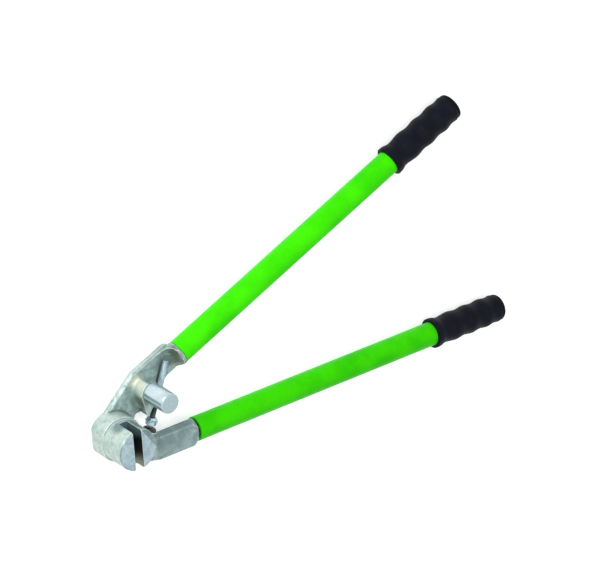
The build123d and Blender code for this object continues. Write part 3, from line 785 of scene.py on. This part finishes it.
def makeCoatMaterial(name, base, deep):
    mat, tree, shader, coords = newMaterial(name)
    coat = useGroup(tree, coatGroup, Vector=coords, Base=base, Deep=deep, Scuff_Amount=coatLook["scuff"])
    rough = ramp(tree, coat["Scuff"], 0.0, .3, *coatLook["rough"])
    finishShader(tree, shader, coatLook, coat["Colour"], rough, coat["Height"])
    shader.inputs["Specular Tint"].default_value = coatLook["tint"]
    return mat


for node in ("pin_tube", "jaw_tube"):
    dress(nodes[node], makeCoatMaterial(node.replace("_", " ") + " powder coat", *coatLook[node]))

gripLook = {
    "base": colour(10, 13, 25), "worn": colour(22, 28, 48), "cloudScale": 40.0, "wornEdges": (.45, .7),
    "wornAmount": .35, "edgeHollowWidth": .03, "edgeHighlightAmount": .3, "rough": (.46, .62), "roughEdges": (.3, .7), "spec": .12,
    "leatherScale": 900.0, "grainScale": 2500.0, "bump": .25, "bumpDepth": mm(.1),
    "inset": mm(.12), "seam": mm(.10), "seamWidth": .05, "mouth": mm(.6),
    "endDish": mm(.4), "dishShare": (.45, .40), "around": 192,
}


def handleLine(tube):
    # middle line of a tube, from its CAD points: a point on it beside the pivot, and its direction
    turn = armLook["turn"] if tube == "pin_tube" else 0.0
    axis = Vector((math.cos(turn), math.sin(turn), 0))
    side = Vector((-axis.y, axis.x, 0))
    low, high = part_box(tube)
    offsets = [v.co.dot(side) for v in nodes[tube].data.vertices]
    origin = side * ((min(offsets) + max(offsets)) / 2) + Vector((0, 0, (low.z + high.z) / 2))
    return origin, axis


def gripOutline(node, origin, axis):
    # the skin's radius at every station, read from the CAD skin
    points = spread(node, origin, axis)
    start, end = span(points)
    bore = min(r for t, r in points if r > .01)
    skin = {}
    for t, r in points:
        key = round(t, 5)
        skin[key] = max(skin.get(key, 0), r)
    known = sorted((t, r) for t, r in skin.items() if r > bore + .0008)
    floorAt = max(t for t, r in points if abs(r - bore) < .0002 and t > start + .02)
    return start, end, bore, known, floorAt


def mouldSeam(angle):
    # fine mould lines on two opposite sides
    away = abs(angle % math.pi - math.pi / 2)
    return gripLook["seam"] * max(0.0, 1 - away / gripLook["seamWidth"])


def makeGrip(node, name, tube):
    origin, axis = handleLine(tube)
    start, end, bore, known, floorAt = gripOutline(node, origin, axis)
    mouth, dish, last = gripLook["mouth"], gripLook["endDish"], known[-1][1]
    rimShare, dishShare = gripLook["dishShare"]
    outline = [(floorAt, 0), (floorAt, bore), (start + mouth, bore), (start, bore + mouth)]
    outline += [(t, r - gripLook["inset"]) for t, r in known]
    outline += [(end, last * rimShare), (end - dish, last * dishShare), (end - dish, 0)]
    return lathe(name, origin, axis, outline, gripLook["around"], mouldSeam)


def makeGripMaterial():
    mat, tree, shader, coords = newMaterial("moulded grip rubber")
    cloud = noise(tree, coords, gripLook["cloudScale"], 4.0, .6)
    edgeAndHollow = useGroup(tree, edgeShadeGroup, Vector=coords, Width=gripLook["edgeHollowWidth"])
    worn = product(tree, ramp(tree, cloud, *gripLook["wornEdges"]), gripLook["wornAmount"])
    base = blendColour(tree, worn, gripLook["base"], gripLook["worn"])
    # painted highlight: raised edges take the paler worn colour
    base = blendColour(tree, product(tree, edgeAndHollow["Edge"], gripLook["edgeHighlightAmount"]), base, gripLook["worn"])
    rough = ramp(tree, cloud, *gripLook["roughEdges"], *gripLook["rough"])
    leather = addNode(tree, "ShaderNodeTexVoronoi", {"feature": "F1"}, Vector=coords, Scale=gripLook["leatherScale"])
    grain = noise(tree, coords, gripLook["grainScale"], 2.0, .5)
    finishShader(tree, shader, gripLook, base, rough, calc(tree, "ADD", leather.outputs["Distance"], grain))
    return mat


gripRubber = makeGripMaterial()
for node, name, tube, body in (
    ("jaw_grip", "jawGrip", "jaw_tube", "jaw_arm"), ("pin_grip", "pinGrip", "pin_tube", "pin_arm"),
):
    grip = place(makeGrip(node, name, tube), body, node)
    dress(grip, gripRubber)
    print(name, len(grip.data.polygons), "faces from", len(nodes[node].data.vertices), "CAD points")

# pieces that keep their CAD shape
smallLook = {
    "button": {"light": colour(52, 60, 66), "dark": colour(18, 20, 24), "metallic": .3, "rough": (.54, .42)},
    "spring": {"light": colour(88, 90, 94), "dark": colour(40, 42, 44), "metallic": .8, "rough": (.52, .40)},
    "bronze": {"light": colour(206, 170, 110), "dark": colour(160, 122, 70), "hollowShade": colour(70, 50, 30),
               "metallic": .85, "rough": (.52, .40)},
    "plug": {"light": colour(48, 48, 50), "dark": colour(30, 30, 32), "metallic": 0.0, "rough": (.67, .55)},
}
for node, key in (
    ("stop_button", "button"), ("pivot_retaining_ring", "spring"), ("jaw_tube_spring_pin", "spring"),
    ("pin_tube_spring_pin", "spring"), ("pivot_bush", "bronze"), ("jaw_tube_plug", "plug"), ("pin_tube_plug", "plug"),
):
    dress(nodes[node], makePlatedMaterial(node.replace("_", " "), {**platedLook, **smallLook[key]}))
print("small CAD pieces finished")


def seenDirectly(tree):
    # 1 for what the camera, a gloss or a clear piece looks at
    ray = tree.nodes.new("ShaderNodeLightPath").outputs
    straight = calc(tree, "MAXIMUM", ray["Is Camera Ray"], ray["Is Glossy Ray"])
    return calc(tree, "MAXIMUM", straight, ray["Is Transmission Ray"])


floorLook = {"size": 30.0, "colour": (.86, .86, .86, 1), "seen": (.98, .98, .98, 1), "lift": .55}


def makeFloor():
    bm = bmesh.new()
    half = floorLook["size"] / 2
    bm.faces.new([bm.verts.new((x * half, y * half, 0)) for x, y in ((-1, -1), (1, -1), (1, 1), (-1, 1))])
    floor = finishMesh(bm, "floor")
    mat, tree, shader = newMaterial("pale floor")[:3]
    seen = seenDirectly(tree)
    tree.links.new(blendColour(tree, seen, floorLook["colour"], floorLook["seen"]), shader.inputs["Base Color"])
    shader.inputs["Roughness"].default_value = 1.0
    shader.inputs["Specular IOR Level"].default_value = 0.0
    shader.inputs["Emission Color"].default_value = (1, 1, 1, 1)
    tree.links.new(product(tree, seen, floorLook["lift"]), shader.inputs["Emission Strength"])
    dress(floor, mat)


worldLook = {"light": .40, "seen": 1.0}


def makeWorld():
    world = bpy.data.worlds.new("studio")
    scene.world = world
    world.use_nodes = True
    tree = world.node_tree
    back = tree.nodes["Background"]
    back.inputs["Color"].default_value = (1, 1, 1, 1)
    strength = ramp(tree, seenDirectly(tree), 0.0, 1.0, worldLook["light"], worldLook["seen"], smooth=False)
    tree.links.new(strength, back.inputs["Strength"])


lampLook = {
    "key": {"at": (-1.5, 2.0, 1.5), "size": 1.0, "power": 46.0},
    "top": {"at": (.2, .3, 2.6), "size": 1.8, "power": 15.0},
}
lampAim = (.2, .1, 0)


def makeLamps():
    for name, look in lampLook.items():
        lamp = bpy.data.lights.new(name, "AREA")
        lamp.energy, lamp.size = look["power"], look["size"]
        holder = bpy.data.objects.new(name, lamp)
        holder.location = look["at"]
        holder.rotation_euler = (Vector(lampAim) - holder.location).to_track_quat("-Z", "Y").to_euler()
        scene.collection.objects.link(holder)


view = {"place": (-1.783, 1.879, 2.9678), "aim": (.3022, .1218, .03), "roll": -118.105, "lens": 180.0,
        "sensor": 36, "reach": 50}


def makeCamera():
    data = bpy.data.cameras.new("camera")
    data.lens, data.sensor_width, data.clip_end = view["lens"], view["sensor"], view["reach"]
    camera = bpy.data.objects.new("camera", data)
    scene.collection.objects.link(camera)
    at, aim = Vector(view["place"]), Vector(view["aim"])
    forward = (aim - at).normalized()
    right = forward.cross(upAxis).normalized()
    up = right.cross(forward)
    roll = math.radians(view["roll"])
    turnedUp = up * math.cos(roll) + right * math.sin(roll)
    pose = Matrix((forward.cross(turnedUp), turnedUp, -forward)).transposed().to_4x4()
    pose.translation = at
    camera.matrix_world = pose
    scene.camera = camera


makeFloor()
makeWorld()
makeLamps()
makeCamera()
print("floor, world, lamps and camera set")
